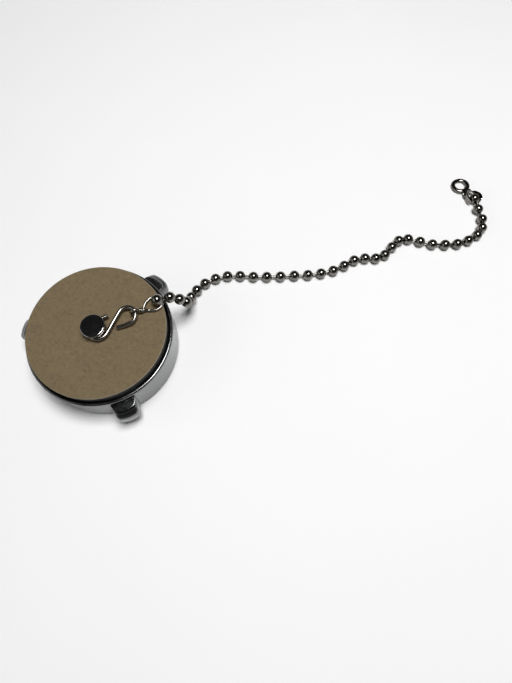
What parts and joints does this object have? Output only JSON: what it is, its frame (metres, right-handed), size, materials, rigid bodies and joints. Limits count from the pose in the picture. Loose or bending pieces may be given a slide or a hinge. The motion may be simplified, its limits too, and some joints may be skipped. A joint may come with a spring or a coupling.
{
  "type": "deck fill cap",
  "caption": "Three-lug round metal deck fill cap with a fibre-faced seal, a shoulder stud, an S hook and a ball chain that ends in an eyelet.",
  "frame": {"origin": "centre of the flat outer face, on the cap's axis", "axes": "+Z along the cap's axis from the outer face to the sealing face; lug 1 points along -Y; the chain is laid out along +X"},
  "size_m": [0.2247, 0.0677, 0.0287],
  "materials": {
    "cap_chrome": "satin chrome plate on the wall, brighter on the rim bead and lugs",
    "seal_rubber": "matt black moulded rubber",
    "plate_steel": "plain pressed steel",
    "disc_fibre": "compressed tan fibre sheet, faintly mottled, matt",
    "stud_chrome": "polished chrome plate, slightly worn",
    "wire_chrome": "bent wire, nickel chrome plate, slightly worn",
    "chain_chrome": "pressed balls, darkened nickel chrome plate"
  },
  "bodies": {
    "cap": {"cap_shell": "cap_chrome", "rubber_ring": "seal_rubber", "backing_plate": "plate_steel", "shoulder_stud": "stud_chrome"},
    "disc": {"fibre_disc": "disc_fibre"},
    "hook": {"s_hook": "wire_chrome"},
    "link": {"connector_link": "wire_chrome", "first_ball": "chain_chrome", "ball_chain": "chain_chrome", "last_ball": "chain_chrome"},
    "eyelet": {"eyelet_coupling": "chain_chrome"}
  },
  "joints": [
    {"name": "disc_turn", "type": "hinge", "parent": "cap", "child": "disc", "pos_m": [0, 0, 0.022], "axis": [0, 0, 1], "continuous": true},
    {"name": "hook_swivel", "type": "hinge", "parent": "cap", "child": "hook", "pos_m": [0, 0, 0.0246], "axis": [0, 0, 1], "continuous": true},
    {"name": "link_swing", "type": "hinge", "parent": "hook", "child": "link", "pos_m": [0.014, 0.00015, 0.0254], "axis": [0, 0, 1], "range_deg": [-12, 12]},
    {"name": "eyelet_swing", "type": "hinge", "parent": "link", "child": "eyelet", "pos_m": [0.1882, 0.006, 0.0024], "axis": [0, 0, 1], "range_deg": [-25, 25]}
  ]
}
